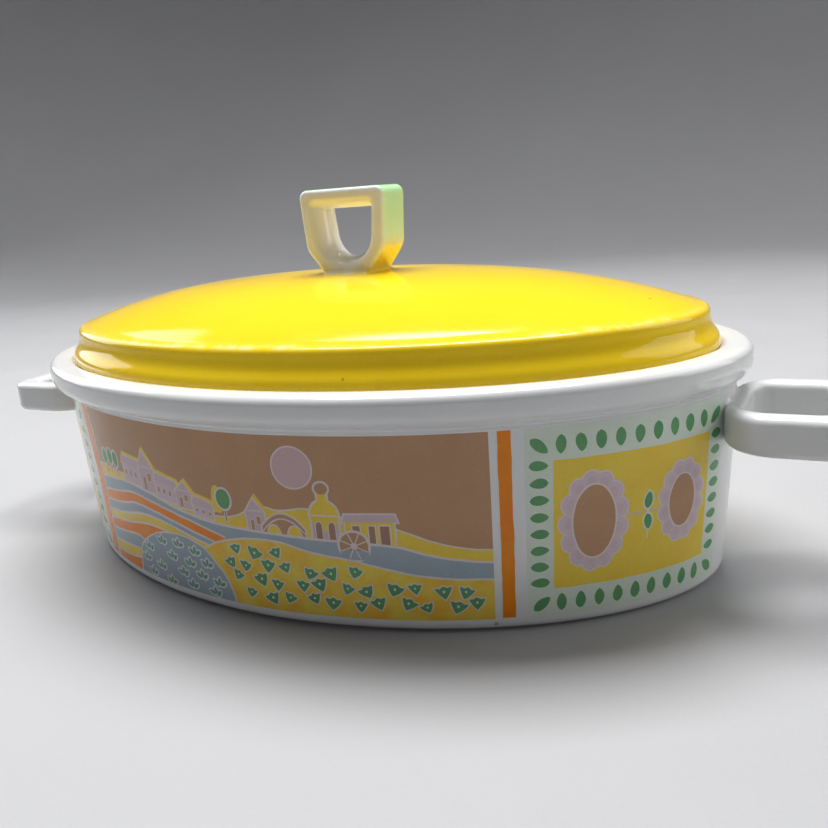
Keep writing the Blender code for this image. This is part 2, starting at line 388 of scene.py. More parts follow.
def specks(n, size_mm, share):
    """Mask of small round specks, one in each cell of the given size at most."""
    cells = n.cells(size_mm)
    chance = n.add("SeparateColor", {0: cells.outputs["Color"]}).outputs[0]
    near = n.ramp(cells.outputs["Distance"], 0.03, 0.06, 1.0, 0.0)
    return n.times(near, n.math("LESS_THAN", chance, share))


def white_glaze():
    """Cool white porcelain glaze, a little greyer where it pools, with rubbed grey marks on edges."""
    n = Nodes("white_glaze")
    darkened = n.mix(n.ramp(n.noise(30, 2.0), 0.35, 0.7), (0.73, 0.735, 0.725), (0.70, 0.71, 0.71))
    fine = n.mix(n.ramp(n.noise(1.2, 2.0), 0.4, 0.75, 0.0, 0.35), darkened, (0.76, 0.76, 0.745))
    spotted = n.mix(specks(n, 16, 0.22), fine, (0.42, 0.38, 0.33))
    rubbed = n.times(n.attribute("wear"), n.ramp(n.noise(5, 5.0, 0.7), 0.5, 0.68))
    worn = n.mix(n.times(rubbed, 0.45), spotted, (0.60, 0.59, 0.57))
    along = n.ramp(n.noise(1.1, 3.0, 0.6, stretch=(0.06, 1.0, 1.0)), 0.66, 0.72)
    across = n.ramp(n.noise(1.3, 3.0, 0.6, stretch=(1.0, 0.05, 1.0)), 0.67, 0.73)
    lines = n.math("MAXIMUM", along, across)
    used = n.times(lines, n.attribute("inside"))
    colour = n.mix(n.times(used, 0.35), worn, (0.58, 0.58, 0.57))
    rough = n.plus(glaze_roughness(n, 0.10), n.times(used, 0.18))
    rough = n.plus(rough, n.times(rubbed, 0.15))
    return n.surface(colour, rough, glaze_relief(n), 0.35, 0.5)


def yellow_glaze():
    """Deep glossy yellow, with a painted cream highlight along the shoulder, where the glaze also thins
    and chips, and painted shade of mustard in the cove.
    """
    n = Nodes("yellow_glaze")
    body = n.mix(n.ramp(n.noise(38, 2.0), 0.35, 0.7), (0.88, 0.61, 0.016), (0.86, 0.575, 0.012))
    # Painted shade: the yellow darkens to mustard round the cove.
    darkened = n.mix(n.times(n.attribute("painted_cove_shade"), 0.3), body, (0.72, 0.48, 0.003))
    fine = n.mix(n.ramp(n.noise(1.4, 2.0), 0.45, 0.8, 0.0, 0.3), darkened, (0.92, 0.67, 0.035))
    # Painted highlight: a cream line along the shoulder crest, mixed with glaze that breaks thin there.
    stretches = n.times(n.attribute("sheen_and_thin_glaze"), n.ramp(n.noise(60, 1.0), 0.42, 0.6, 0.25, 1.0))
    sheen_and_break = n.times(stretches, n.ramp(n.noise(5, 4.0, 0.65), 0.40, 0.66))
    sheen_and_thin_glaze = n.mix(n.times(sheen_and_break, 0.7), fine, (0.93, 0.84, 0.55))
    chips = n.times(n.attribute("sheen_and_thin_glaze"), specks(n, 7.0, 0.35))
    colour = n.mix(n.times(chips, 0.8), sheen_and_thin_glaze, (0.92, 0.86, 0.78))
    colour = n.mix(specks(n, 13, 0.25), colour, (0.42, 0.26, 0.01))
    return n.surface(colour, glaze_roughness(n, 0.09), glaze_relief(n), 0.30, 0.5, YELLOW_IOR)


def loop_glaze():
    """White glaze sprayed mint green on the outer faces, running into yellow at the foot, with painted
    yellow bounce light from the dome under the eye's top.
    """
    n = Nodes("loop_glaze")
    white = n.mix(n.ramp(n.noise(12, 3.0), 0.35, 0.7), (0.89, 0.905, 0.95), (0.86, 0.87, 0.89))
    height = n.add("SeparateXYZ", {0: n.place}).outputs["Z"]
    drift = n.plus(height, n.ramp(n.noise(11, 2.0), 0.2, 0.8, -3.0 * MM, 3.0 * MM))
    lower = n.ramp(drift, (LOOP_LOW.z + 6.5) * MM, (LOOP_LOW.z + 14.5) * MM, 1.0, 0.0)
    middle = n.ramp(drift, (LOOP_LOW.z + 9) * MM, (LOOP_HIGH.z - 2) * MM, 1.0, 0.0)
    green = n.mix(middle, (0.46, 0.76, 0.40), (0.64, 0.79, 0.42))
    outer = n.mix(lower, green, (0.87, 0.64, 0.02))
    streaks = n.ramp(n.noise(2.5, 3.0, stretch=(1.0, 1.0, 0.3)), 0.35, 0.75, 0.0, 0.25)
    outer = n.mix(streaks, outer, (0.80, 0.84, 0.66))
    edge = n.plus(n.attribute("outer"), n.ramp(n.noise(4, 3.0), 0.2, 0.8, -0.3, 0.3))
    colour = n.mix(n.ramp(edge, 0.2, 0.9), white, outer)
    footing = n.ramp(drift, (LOOP_LOW.z - 0.5) * MM, (LOOP_LOW.z + 2.2) * MM, 1.0, 0.0)
    colour = n.mix(n.times(footing, 0.7), colour, (0.88, 0.66, 0.03))
    # Painted reflection: yellow light bounced up from the dome, painted on the eye's top inner face.
    painted_dome_bounce = n.times(n.attribute("inner_top"), 0.4)
    colour = n.mix(painted_dome_bounce, colour, (0.84, 0.78, 0.44))
    return n.surface(colour, glaze_roughness(n, 0.09), glaze_relief(n), 0.25, 0.4)


def print_glaze(name, colour, second, share=0.6, patch_mm=11):
    """A printed colour under clear glaze: uneven in density, with a fine grain of pigment."""
    n = Nodes(name)
    patches = n.mix(n.ramp(n.noise(patch_mm, 3.0), 0.38, 0.66, 0.0, share), colour, second)
    dark = tuple(0.82 * c for c in colour)
    grain = n.mix(n.ramp(n.noise(0.7, 3.0, 0.7), 0.48, 0.72, 0.0, 0.5), patches, dark)
    pale = tuple(0.75 * c + 0.25 * 0.8 for c in colour)
    missed = n.mix(n.ramp(n.noise(1.9, 4.0, 0.75), 0.62, 0.74, 0.0, 0.55), grain, pale)
    return n.surface(missed, glaze_roughness(n, 0.11), glaze_relief(n), 0.35, 0.5, PRINT_IOR)


def bare_porcelain():
    """Unglazed foot ring, ground flat: matt, gritty and a little stained."""
    n = Nodes("bare_foot")
    base = n.mix(n.ramp(n.noise(3, 5.0, 0.7), 0.35, 0.7), (0.70, 0.67, 0.61), (0.60, 0.55, 0.48))
    colour = n.mix(n.ramp(n.noise(0.6, 3.0), 0.5, 0.75, 0.0, 0.6), base, (0.45, 0.41, 0.36))
    rough = n.ramp(n.noise(1.0, 4.0), 0.3, 0.7, 0.62, 0.85)
    return n.surface(colour, rough, n.noise(0.5, 4.0, 0.7), 0.5, 0.15)


def floor_material():
    n = Nodes("studio_floor")
    tone = n.mix(n.ramp(n.noise(420, 3.0), 0.3, 0.7), (0.41, 0.41, 0.42), (0.385, 0.385, 0.395))
    colour = n.mix(n.ramp(n.noise(1.5, 3.0), 0.45, 0.7, 0.0, 0.25), tone, (0.36, 0.36, 0.37))
    rough = n.ramp(n.noise(60, 4.0), 0.3, 0.7, 0.55, 0.7)
    return n.surface(colour, rough, n.noise(0.9, 3.0), 0.15, 0.2)


# ---- dish


def dish_profile():
    """Cross-section from the recess under the dish, up the wall and over the rim, down to the floor."""
    foot = filleted([(21.5, 2.2, 0), (18.6, 2.1, 1.5), (17.4, 0.5, 0.5), (13.2, 0.5, 0.9),
                     (WALL_FOOT_INSET + 0.25, 0.7, 3.6), (WALL_FOOT_INSET, WALL_FOOT, 0)])
    heights = np.arange(WALL_FOOT + 2.5, BEAD_HEIGHT - 1.5, 2.5)
    wall = np.stack([wall_inset(heights), heights], axis=1)
    rim = filleted([(WALL_TOP_INSET, BEAD_HEIGHT - 0.6, 0), (WALL_TOP_INSET, BEAD_HEIGHT, 0.15),
                    (6.38, BEAD_HEIGHT + 0.3, 0.3), (6.5, 69.9, 0.4), (6.75, 70.5, 0.8),
                    (0.25, 73.9, 6.0), (0.0, RIM_TOP, 3.1), (9.5, RIM_TOP - 0.15, 1.5),
                    (10.3, LEDGE_HEIGHT, 0.6), (LEDGE_INSET, LEDGE_HEIGHT, 1.0), (LEDGE_INSET, 77.6, 0.8),
                    (11.7, 72.6, 3.0), (wall_inset(60.0) + WALL_THICKNESS, 60.0, 0)])
    inner_heights = np.arange(57.0, 17.0, -3.0)
    inner = np.stack([wall_inset(inner_heights) + WALL_THICKNESS, inner_heights], axis=1)
    corner = filleted([(*inner[-1], 0), (14.6, FLOOR_HEIGHT, 9.0), (30.0, FLOOR_HEIGHT, 0)], step=7)
    return np.concatenate([foot, wall, rim, inner[:-1], corner])


def build_dish(material):
    profile = subdivided(dish_profile(), 3.0)
    floor = shrinking_rings(*profile[-1], np.linspace(1.0, 0.06, 26)[1:],
                            lambda share: 0.5 * (1 - share ** 2))
    under = shrinking_rings(*profile[0], np.linspace(0.06, 1.0, 16)[:-1],
                            lambda share: 0.8 * (1 - share ** 2))
    rings = under + profile_rings(profile) + floor
    points, faces = capped(rings)
    levels = np.array(points)[:, 2]
    mouth = len(under) + int(np.argmax(profile[:, 1]))
    inside = np.where((ring_numbers(rings) > mouth) & (levels < 60), 1.0, 0.0)
    inside[-2:] = (0.0, 1.0)
    wear = np.clip(1 - np.abs(levels - RIM_TOP) / 1.2, 0, 1) + np.clip(1 - levels / 2.5, 0, 1)
    mesh_piece("dish", points, faces, material, "dish", "dish_body",
               {"inside": inside, "wear": wear})


def build_foot_ring(material):
    """The ground ring that touches the table, standing just proud of the glaze."""
    section = filleted([(17.1, 1.4, 0), (17.0, 0.0, 0.35), (13.6, 0.0, 0.35), (13.5, 1.4, 0)])
    points, faces = strip(profile_rings(section), closed=True)
    mesh_piece("foot_ring", points, faces, material, "dish")


# ---- lid


def dome_height(share):
    """Height above the shoulder at a share of the way out from the middle."""
    return (DOME_TOP - SHOULDER_HEIGHT) * (1.0 - share ** DOME_POWER)


def dome_z(x, y):
    """Height of the lid's outer skin above the point (x, y)."""
    a = np.abs(x) / (HALF_LENGTH - SHOULDER_INSET)
    b = np.abs(y) / (HALF_WIDTH - SHOULDER_INSET)
    return SHOULDER_HEIGHT + dome_height((a ** OVAL_POWER + b ** OVAL_POWER) ** (1 / OVAL_POWER))


def lid_profile():
    """Locating ring, seat, flange, cove and upright band; the last corner only aims the arc before it."""
    under = SHOULDER_HEIGHT - LID_THICKNESS
    return filleted([(RING_INSET + 2.5, under - 0.2, 0), (RING_INSET, under - 0.2, 2.0),
                     (RING_INSET, RING_FOOT, 1.2), (17.4, RING_FOOT, 1.2),
                     (17.4, FLANGE_HEIGHT, 0.7), (10.8, FLANGE_HEIGHT, 0.8), (11.0, 85.2, 5.0),
                     (14.2, 89.6, 7.0), (14.4, SHOULDER_HEIGHT - 0.35, 2.5),
                     (SHOULDER_INSET + 1.6, SHOULDER_HEIGHT + 0.42, 0)], step=8)[:-1]


def build_lid(material):
    profile = subdivided(lid_profile(), 1.2)
    shares = [0.985, *np.linspace(0.965, 0.03, 56)]
    outer = shrinking_rings(SHOULDER_INSET, SHOULDER_HEIGHT, shares, dome_height)
    inner = shrinking_rings(RING_INSET, SHOULDER_HEIGHT - LID_THICKNESS, np.linspace(0.03, 0.975, 34),
                            dome_height)
    rings = inner + profile_rings(profile) + outer
    points, faces = capped(rings)
    levels = np.array(points)[:, 2]
    is_outer = ring_numbers(rings) >= len(inner)
    # Masks for the yellow glaze: a painted highlight along the shoulder crest, partly thin glaze, and
    # painted shade in the cove.
    sheen_and_thin_glaze = np.clip(1 - np.abs(levels - SHOULDER_HEIGHT + 0.1) / 0.9, 0, 1) * is_outer
    painted_cove_shade = np.clip(1 - np.abs(levels - COVE_HEIGHT) / 2.0, 0, 1) * is_outer
    mesh_piece("lid", points, faces, material, "lid", "lid_shell",
               {"sheen_and_thin_glaze": sheen_and_thin_glaze, "painted_cove_shade": painted_cove_shade})


# ---- loops


def crossing(outline, centre, angle):
    """Where the ray from the centre at the angle last crosses a closed outline."""
    a = outline - centre
    b = np.roll(a, -1, axis=0)
    ray = np.array((cos(angle), sin(angle)))
    side_a = a[:, 0] * ray[1] - a[:, 1] * ray[0]
    side_b = b[:, 0] * ray[1] - b[:, 1] * ray[0]
    hits = np.where((side_a * side_b <= 0) & (np.abs(side_a - side_b) > 1e-12))[0]
    spots = [a[k] + (b[k] - a[k]) * side_a[k] / (side_a[k] - side_b[k]) for k in hits]
    return max(spots, key=lambda spot: spot @ ray) + centre


def outward(loop):
    """Outward normals of the corners and of the edges of a closed loop that runs anticlockwise."""
    ahead = unit(np.roll(loop, -1, axis=0) - loop)
    along = unit(ahead + unit(loop - np.roll(loop, 1, axis=0)))
    return np.column_stack([along[:, 1], -along[:, 0]]), np.column_stack([ahead[:, 1], -ahead[:, 0]])


def ring_solid(outlines, centre, half_depth, edge, crown=0.0):
    """A flat loop with rounded edges between two outlines, its eye narrower halfway through by the crown.

    Returns rings of (a, b, depth) and, for each ring, 0 on the outside or 1 in the eye.
    """
    spots = np.concatenate(outlines) - centre
    angles = np.unique(np.round(np.arctan2(spots[:, 1], spots[:, 0]), 2))
    loops = [np.array([crossing(outline, centre, a) for a in angles]) for outline in outlines]
    normals = [outward(loop)[0] for loop in loops]
    rings, roles = [], []

    def put(which, offset, depth):
        sign = 1.0 if which else -1.0
        bulge = crown * which * (1 - (depth / half_depth) ** 2)
        flat = loops[which] + normals[which] * (offset * sign - bulge)
        rings.append(np.column_stack([flat, np.full(len(angles), depth)]))
        roles.append(which)

    def put_edge(which, side, turns):
        for a in turns:
            put(which, edge * (1 - cos(a)), side * (reach + edge * sin(a)))

    quarter = np.linspace(0.0, pi / 2, 7)
    reach = half_depth - edge
    for depth in np.linspace(-reach, reach, 7):
        put(0, 0.0, depth)
    put_edge(0, 1, quarter[1:])
    put_edge(1, 1, quarter[::-1])
    for depth in np.linspace(reach, -reach, 13)[1:]:
        put(1, 0.0, depth)
    put_edge(1, -1, quarter[1:])
    put_edge(0, -1, quarter[:0:-1])
    return rings, roles


def even_normals(item):
    """Shades the flats flat and the rounded edges round."""
    modifier = item.modifiers.new("even_normals", "WEIGHTED_NORMAL")
    modifier.weight = 60
    modifier.keep_sharp = False


def fillet_strip(half_a, half_b, radius, surface):
    """A hollow glaze fillet round a foot; surface(a, b, height) gives the point that high off it."""
    rings = []
    for angle in np.linspace(0.0, pi / 2, 8):
        reach = radius + FILLET_REACH * (1 - sin(angle))
        ring = []
        for quadrant, (sign_a, sign_b) in enumerate(((1, 1), (-1, 1), (-1, -1), (1, -1))):
            for turn in pi / 2 * (quadrant + np.arange(12) / 11):
                a = (half_a - radius) * sign_a + reach * cos(turn)
                b = (half_b - radius) * sign_b + reach * sin(turn)
                ring.append(surface(a, b, FILLET_REACH * (1 - cos(angle))))
        rings.append(ring)
    return strip(rings)


def joined(points, faces, more, more_faces):
    """Two skins in one mesh, as an array of points and a list of faces."""
    start = len(points)
    return np.array(points + more), faces + [tuple(start + k for k in face) for face in more_faces]


def arc(across, along, radius, turns):
    """Corners without a radius of their own, on an arc round a centre, at turns in degrees."""
    return [(across + radius * cos(a), along + radius * sin(a), 0) for a in np.radians(turns)]


def loop_outlines():
    """Front view of the lid's loop, outside and eye: x across, second value the height."""
    foot = LOOP_LOW.z - 1.5
    top = LOOP_HIGH.z
    side = LOOP_HIGH.x + LOOP_SPREAD
    outer = [(LOOP_FOOT, foot, 0), (LOOP_FOOT, foot + 1.4, 0.8), (side - 1.5, foot + 10.8, 8.5),
             (side, top, 3.4)]
    outer += [(-x, z, r) for x, z, r in outer[::-1]]
    eye_top = top - 4.7
    eye = [(14.2, eye_top, 2.2), (-14.2, eye_top, 2.2)]
    eye += arc(0.0, eye_top - 12.0, EYE_RADIUS, range(180, 361, 9))
    return filleted(outer, closed=True), filleted(eye, closed=True)


def build_lid_loop(material):
    centre = np.array((0.0, LOOP_HIGH.z - 14.5))
    rings, roles = ring_solid(loop_outlines(), centre, LOOP_HIGH.y, LOOP_EDGE, EYE_CROWN)
    points, faces = strip([ring[:, (0, 2, 1)] * (1, -1, 1) for ring in rings], closed=True)
    in_eye = np.repeat(roles, len(rings[0]))
    spots = np.array(points)
    outer = np.clip((LOOP_HIGH.y - np.abs(spots[:, 1])) / 1.5, 0, 1) * (1 - in_eye)
    # The eye's top inner face, which carries the painted yellow light bounced from the dome.
    inner_top = np.where(spots[:, 2] > LOOP_HIGH.z - 6.5, 1.0, 0.0) * in_eye

    def surface(a, b, height):
        return np.array((a, b, float(dome_z(a, b)) + height))

    more, more_faces = fillet_strip(LOOP_FOOT, LOOP_HIGH.y, 1.5, surface)
    points, faces = joined(points, faces, more, more_faces)
    side = [1.0 if abs(p[0]) > 9.6 else 0.0 for p in more]
    attributes = {"outer": [*outer, *side], "inner_top": [*inner_top, *np.zeros(len(more))]}
    even_normals(mesh_piece("lid_loop", points, faces, material, "lid", "lid_handle",
                            attributes))


def grip_outlines():
    """Plan of the +X side handle: the rounded loop on its short neck, and its eye."""
    end = GRIP_HIGH.x
    half = GRIP_HIGH.y
    outer = [(GRIP_ROOT, GRIP_NECK, 0), (GRIP_ROOT + 1.2, GRIP_NECK, 0.25)]
    outer += arc(160.0, half - GRIP_SHOULDER, GRIP_SHOULDER, range(176, 89, -6))
    outer.append((end, half, 10.0))
    outer += [(x, -y, r) for x, y, r in outer[::-1]]
    eye = [(148.6, half - GRIP_BAR, 8.0), (end - GRIP_BAR, half - GRIP_BAR, 4.5)]
    eye += [(x, -y, r) for x, y, r in eye[::-1]]
    return filleted(outer, closed=True)[::-1], filleted(eye, closed=True)[::-1]


def build_grip(name, side, node, material):
    """One side handle with its glaze fillet; side -1 turns it half round, to the -X end."""
    middle = (GRIP_LOW.z + GRIP_HIGH.z) / 2
    half_height = (GRIP_HIGH.z - GRIP_LOW.z) / 2
    rings, _ = ring_solid(grip_outlines(), np.array((162.0, 0.0)), half_height, GRIP_EDGE)
    points, faces = strip([ring + (0.0, 0.0, middle) for ring in rings], closed=True)

    def surface(a, b, height):
        z = middle + b
        return np.array((wall_reach(a, z) - 0.02 + height, a, z))

    points, faces = joined(points, faces, *fillet_strip(GRIP_NECK, half_height, GRIP_EDGE, surface))
    spots = points * (side, side, 1.0)
    wear = np.clip(1 - np.abs(spots[:, 2] - GRIP_HIGH.z) / 0.8, 0, 1) * 0.5
    attributes = {"inside": np.zeros(len(spots)), "wear": wear}
    even_normals(mesh_piece(name, spots, faces, material, "dish", node, attributes))


# ---- shapes of the print

VIEW_RIGHT = 84.5
VIEW_END = 95.0
VIEW_SLIP = 3.8
BAR_EDGE = [(-91.8, 2), (-90.4, 11), (-87.5, 30), (-86.8, 45), (-88.6, 59), (-90.2, 66), (-91.4, 71)]
LEFT_BAR_WIDTH = 6.6
RIGHT_BAR = (87.0, 91.2)
PANEL_LOW = 4.9
PANEL_TOP = 69.0
VIEW = (-VIEW_END - VIEW_SLIP, PANEL_LOW, VIEW_END, PANEL_TOP)
FLOWERS = (95.2, PANEL_LOW, 169.2, PANEL_TOP)
PETAL_SIZE = 2.1 / 3.8
HALO_SHIFT = (0.9, 0.5)


def ellipse(u, z, ru, rz, count=28):
    a = np.arange(count) * 2 * pi / count
    return np.column_stack([u + ru * np.cos(a), z + rz * np.sin(a)])


def rectangle(u0, z0, u1, z1):
    return np.array([(u0, z0), (u1, z0), (u1, z1), (u0, z1)], float)


def turned(outline, turn):
    """The outline turned anticlockwise about the origin, by degrees."""
    a = radians(turn)
    return np.array(outline) @ np.array([(cos(a), sin(a)), (-sin(a), cos(a))])


def leaf(u, z, length, width, turn, count=9):
    """A leaf round at its tail and pointed at its tip, the tip towards the given direction."""
    t = np.arange(1, count) / count
    wide = width / 2 * np.sin(pi * t ** 0.88) ** 0.62
    along = length * (t - 0.5)
    half = [(-length / 2, 0.0), *zip(along, wide), (length / 2, 0.0)]
    return turned(half + [(x, -y) for x, y in half[-2:0:-1]], turn) + (u, z)


def area(outline):
    after = np.roll(outline, -1, axis=0)
    return 0.5 * float(np.sum(outline[:, 0] * after[:, 1] - outline[:, 1] * after[:, 0]))


def grown(outline, amount):
    """The outline moved outwards by the amount, its corners mitred."""
    outline = np.asarray(outline, float)
    loop = outline if area(outline) > 0 else outline[::-1]
    normal, edge_normal = outward(loop)
    square = np.clip(np.sum(normal * edge_normal, axis=1), 0.6, 1.0)
    return loop + normal * (amount / square)[:, None]


def ribbon(path, width):
    """A brush line along a path, thinner at its ends."""
    path = np.asarray(path, float)
    along = unit(np.gradient(path, axis=0))
    normal = np.column_stack([-along[:, 1], along[:, 0]])
    t = np.linspace(-1, 1, len(path))
    half = (width / 2 * (1 - 0.45 * t ** 6))[:, None]
    return np.concatenate([path + normal * half, (path - normal * half)[::-1]])


def divided(outline, longest=2.0):
    """A closed outline with points added along its long edges, so that it can bend round the wall."""
    return subdivided(np.concatenate([outline, outline[:1]]), longest)[:-1]


# Without a seed, noise_vector gives other wanderings in every run.
noise.seed_set(5)


def drawn_by_hand(outline, amount=0.16):
    """Small slow wanderings, as a brush gives."""
    moved = [noise.noise_vector(Vector((u / 5, z / 5, 0.3))) for u, z in outline]
    return outline + amount * np.array([(m.x, m.y) for m in moved])


# ---- the print's motifs


class Print:
    """Coloured outlines in painter's order, each clipped by the panel that is open."""

    def __init__(self):
        self.shapes = []

    def add(self, outline, colour, wander=0.16):
        outline = divided(np.asarray(outline, float))
        if area(outline) < 0:
            outline = outline[::-1]
        self.shapes.append((drawn_by_hand(outline, wander) if wander else outline, colour))

    def edges(self, line, *outlines, edge="pale"):
        """The outlines grown by a line's width, in the colour of the line."""
        for outline in outlines:
            self.add(grown(outline, line), edge)

    def outlined(self, outline, colour, line=0.55, edge="pale"):
        self.edges(line, outline, edge=edge)
        self.add(outline, colour)

    def below(self, curve, colour, line=0.6):
        """Everything under a curve that crosses the panel, with a pale line along its top."""
        top = spline(curve)
        self.add(ribbon(top + (0, line / 2), 2 * line), "pale")
        ends = [(top[-1][0], PANEL_LOW - 2), (top[0][0], PANEL_LOW - 2)]
        self.add(np.concatenate([top, ends]), colour)


def house(art, u, base, width, height, roof, apex=0.0):
    """A cottage with a pitched roof, its apex off centre by a share of the width, haloed in yellow."""
    half = width / 2
    peak = (u + apex * width, base + height + roof)
    wall_top = base + height
    shape = np.array([(u - half, base), (u + half, base), (u + half + 0.4, wall_top - 0.3), peak,
                      (u - half - 0.4, wall_top - 0.3)])
    art.add(grown(shape, 1.0) + HALO_SHIFT, "yellow")
    art.outlined(shape, "mauve", 0.6)
    art.add(ribbon([(u - half, wall_top), (u, wall_top + 0.25), (u + half, wall_top)], 0.45), "pale")
    door = rectangle(u - half * 0.62, base + 0.4, u - half * 0.22, base + height * 0.6)
    window = rectangle(u + half * 0.15, base + height * 0.45, u + half * 0.6, base + height * 0.78)
    for opening in (door, window):
        art.outlined(opening, "tan", 0.28)


def terrace(art, u, base, width, height, fall):
    """A long low range of rooms under one sloping roof, with a row of small windows."""
    roof = np.array([(u, base + height), (u + width, base + height - fall),
                     (u + width - 1.2, base + height - fall + 2.4), (u + 1.4, base + height + 3.0)])
    wall = np.array([(u + 0.6, base), (u + width - 0.6, base - fall * 0.8),
                     (u + width - 0.6, base + height - fall), (u + 0.6, base + height)])
    art.add(grown(roof, 1.0) + (0.6, 0.6), "yellow")
    art.edges(0.6, wall, roof)
    art.add(wall, "petal")
    art.add(roof, "mauve")
    count = int(width / 3.2)
    for k in range(count):
        t = (k + 0.7) / (count + 0.4)
        low = base + height * 0.38 - fall * t
        middle = u + width * t
        art.outlined(rectangle(middle - 0.55, low, middle + 0.55, low + height * 0.3), "tan", 0.28)


def tree(art, u, z, wide, tall, trunk):
    art.outlined(ribbon([(u, z - tall - trunk), (u + 0.1, z)], 1.0), "brown", 0.4)
    art.add(ellipse(u, z, wide + 0.8, tall + 0.8), "pale")
    art.add(ellipse(u, z, wide, tall), "green")


def sprig(art, u, z, size, turn):
    """Three hollow leaves fanned on a short stalk, each with a dark vein."""
    fan = [(-0.50, 0.05, 145), (0.04, 0.30, 88), (0.52, 0.02, 38)]
    leaves = [(u + dx * size, z + dz * size, turn + angle) for dx, dz, angle in fan]
    for x, y, angle in leaves:
        art.add(grown(leaf(x, y, size * 1.05, size * 0.55, angle), 0.5), "mint", 0)
    for x, y, angle in leaves:
        art.add(leaf(x, y, size * 1.05, size * 0.55, angle), "blue", 0)
        art.add(leaf(x, y, size * 0.8, size * 0.24, angle), "green", 0)


def tuft(art, u, z, size, turn):
    """A seedling in the sown meadow: three joined leaves on a point, with a pale heart."""
    outline = spline([(0, -1.0), (-0.62, -0.35), (-1.1, 0.6), (-0.5, 0.58), (0.0, 0.9), (0.5, 0.58),
                      (1.1, 0.6), (0.62, -0.35), (0, -1.0)], 0.3)[:-1]
    shape = turned(outline * size, turn) + (u, z)
    art.add(grown(shape, 0.42), "pale", 0.4)
    art.add(shape, "green", 0.4)
    art.add(ellipse(u, z + 0.08 * size, 0.17 * size, 0.2 * size, 10), "mint", 0)


def tower(art, u, base):
    """A round-topped tower with a small lantern."""
    body = rectangle(u - 4.6, base, u + 4.6, base + 10)
    cap = ellipse(u, base + 10, 4.9, 5.4, 32)
    neck = rectangle(u - 1.6, base + 14, u + 1.6, base + 18.6)
    knob = ellipse(u, base + 19.4, 2.3, 2.0, 20)
    art.edges(0.7, body, cap, neck, knob)
    art.add(body, "mauve")
    art.add(cap, "yellow")
    art.add(neck, "yellow")
    art.add(knob, "tan")
    art.add(rectangle(u - 4.6, base + 9.7, u + 4.6, base + 10.3), "pale")
    for side in (-2.3, 2.3):
        window = np.concatenate([rectangle(u + side - 1.1, base + 0.8, u + side + 1.1, base + 6.2)[:2],
                                 ellipse(u + side, base + 6.2, 1.1, 1.5, 20)[:11]])
        art.outlined(window, "brown", 0.35)


def bridge(art, u, base, width, rise):
    """A low humped bridge with two arches."""
    t = np.linspace(-1, 1, 25)
    top = np.column_stack([u + t * width / 2, base + rise - (rise - 3.6) * t ** 2])
    shape = np.concatenate([top, [(u + width / 2, base), (u - width / 2, base)]])
    art.outlined(shape, "tan", 0.7)
    art.add(ribbon(top - (0, 1.7), 0.55), "pale")
    for side in (-0.23, 0.25):
        arch = ellipse(u + side * width, base, width * 0.16, rise * 0.52, 28)
        art.outlined(arch[:15], "yellow", 0.5)


def mill(art, u, base):
    """A long low barn with open posts."""
    body = rectangle(u - 8.0, base, u + 8.0, base + 9.0)
    roof = np.array([(u - 9.0, base + 8.6), (u + 9.2, base + 8.9), (u + 8.4, base + 11.4),
                     (u - 8.2, base + 11.2)])
    art.edges(0.65, body, roof)
    art.add(body, "yellow")
    art.add(roof, "mauve")
    for place, wide in ((4.9, 1.5), (0.7, 1.0), (-4.6, 1.2)):
        art.outlined(rectangle(u + place - wide, base, u + place + wide, base + 7.4), "brown", 0.45)


def wheel(art, u, z, radius):
    """A water wheel: rim, spokes and hub in pale lines."""
    art.add(ellipse(u, z, radius + 0.9, radius + 0.9, 36), "pale")
    art.add(ellipse(u, z, radius, radius, 36), "tan")
    art.add(rectangle(u - radius, z - radius, u + radius, z - 1.6), "blue")
    for k in range(8):
        a = pi * (k + 0.5) / 4
        art.add(ribbon([(u, z), (u + radius * cos(a), z + radius * sin(a))], 0.75), "pale")
    rim = np.array(arc(u, z, radius - 0.1, range(0, 361, 9)))[:, :2]
    art.add(ribbon(rim, 0.9), "pale")
    art.add(ellipse(u, z, 1.2, 1.2, 16), "pale")


RIVER = [(-102, 39.5), (-74, 42), (-62, 42.6), (-48, 41), (-32, 37.4), (-16, 35), (4, 34), (26, 33),
         (52, 31.4), (64, 28.2), (76, 26), (85, 25.2)]
MEADOW = [(-21, 24.4), (-12, 28.4), (0, 31), (12, 31), (24, 28.2), (40, 25.6), (56, 21.8), (70, 19.8),
          (85, 19.2)]
BANDS = (
    ("orange", [(-102, 33), (-74, 36.8), (-60, 38.8), (-44, 37), (-26, 33.8), (-10, 30)]),
    ("blue", [(-102, 28.8), (-72, 32.4), (-60, 34.6), (-46, 33.6), (-30, 30.6), (-14, 27)]),
    ("yellow", [(-102, 24.8), (-72, 28.2), (-56, 31), (-42, 30.4), (-28, 27.6), (-16, 25)]),
    ("orange", [(-102, 21.4), (-72, 24.4), (-58, 26.8), (-46, 27.2), (-36, 26)]),
    ("blue", [(-102, 16.4), (-74, 19.4), (-64, 20.6), (-56, 18)]),
    ("yellow", [(-102, 11.8), (-74, 13.8), (-64, 14.4), (-56, 13)]),
    ("orange", [(-102, 7), (-76, 8.8), (-66, 10.2), (-58, 10.4)]),
)
MEADOW_SIDE = [(-10.4, 3), (-11, 9), (-13.8, 15.8), (-21, 24.4)]
KNOLL = [(-68, 3), (-65.5, 10), (-62, 17), (-54, 22.4), (-45, 25.8), (-35, 27), (-26, 25.6), (-18, 21.6),
         (-13.6, 15.6), (-11, 9), (-10.4, 3)]
RIDGE = [(-102, 47), (-68, 46), (-50, 43.6), (-30, 40.6), (-14, 38), (-4, 39), (6, 43.6), (14, 42.6),
         (24, 43.8), (38, 41), (52, 38.2), (66, 33), (76, 30.6), (85, 29.6)]


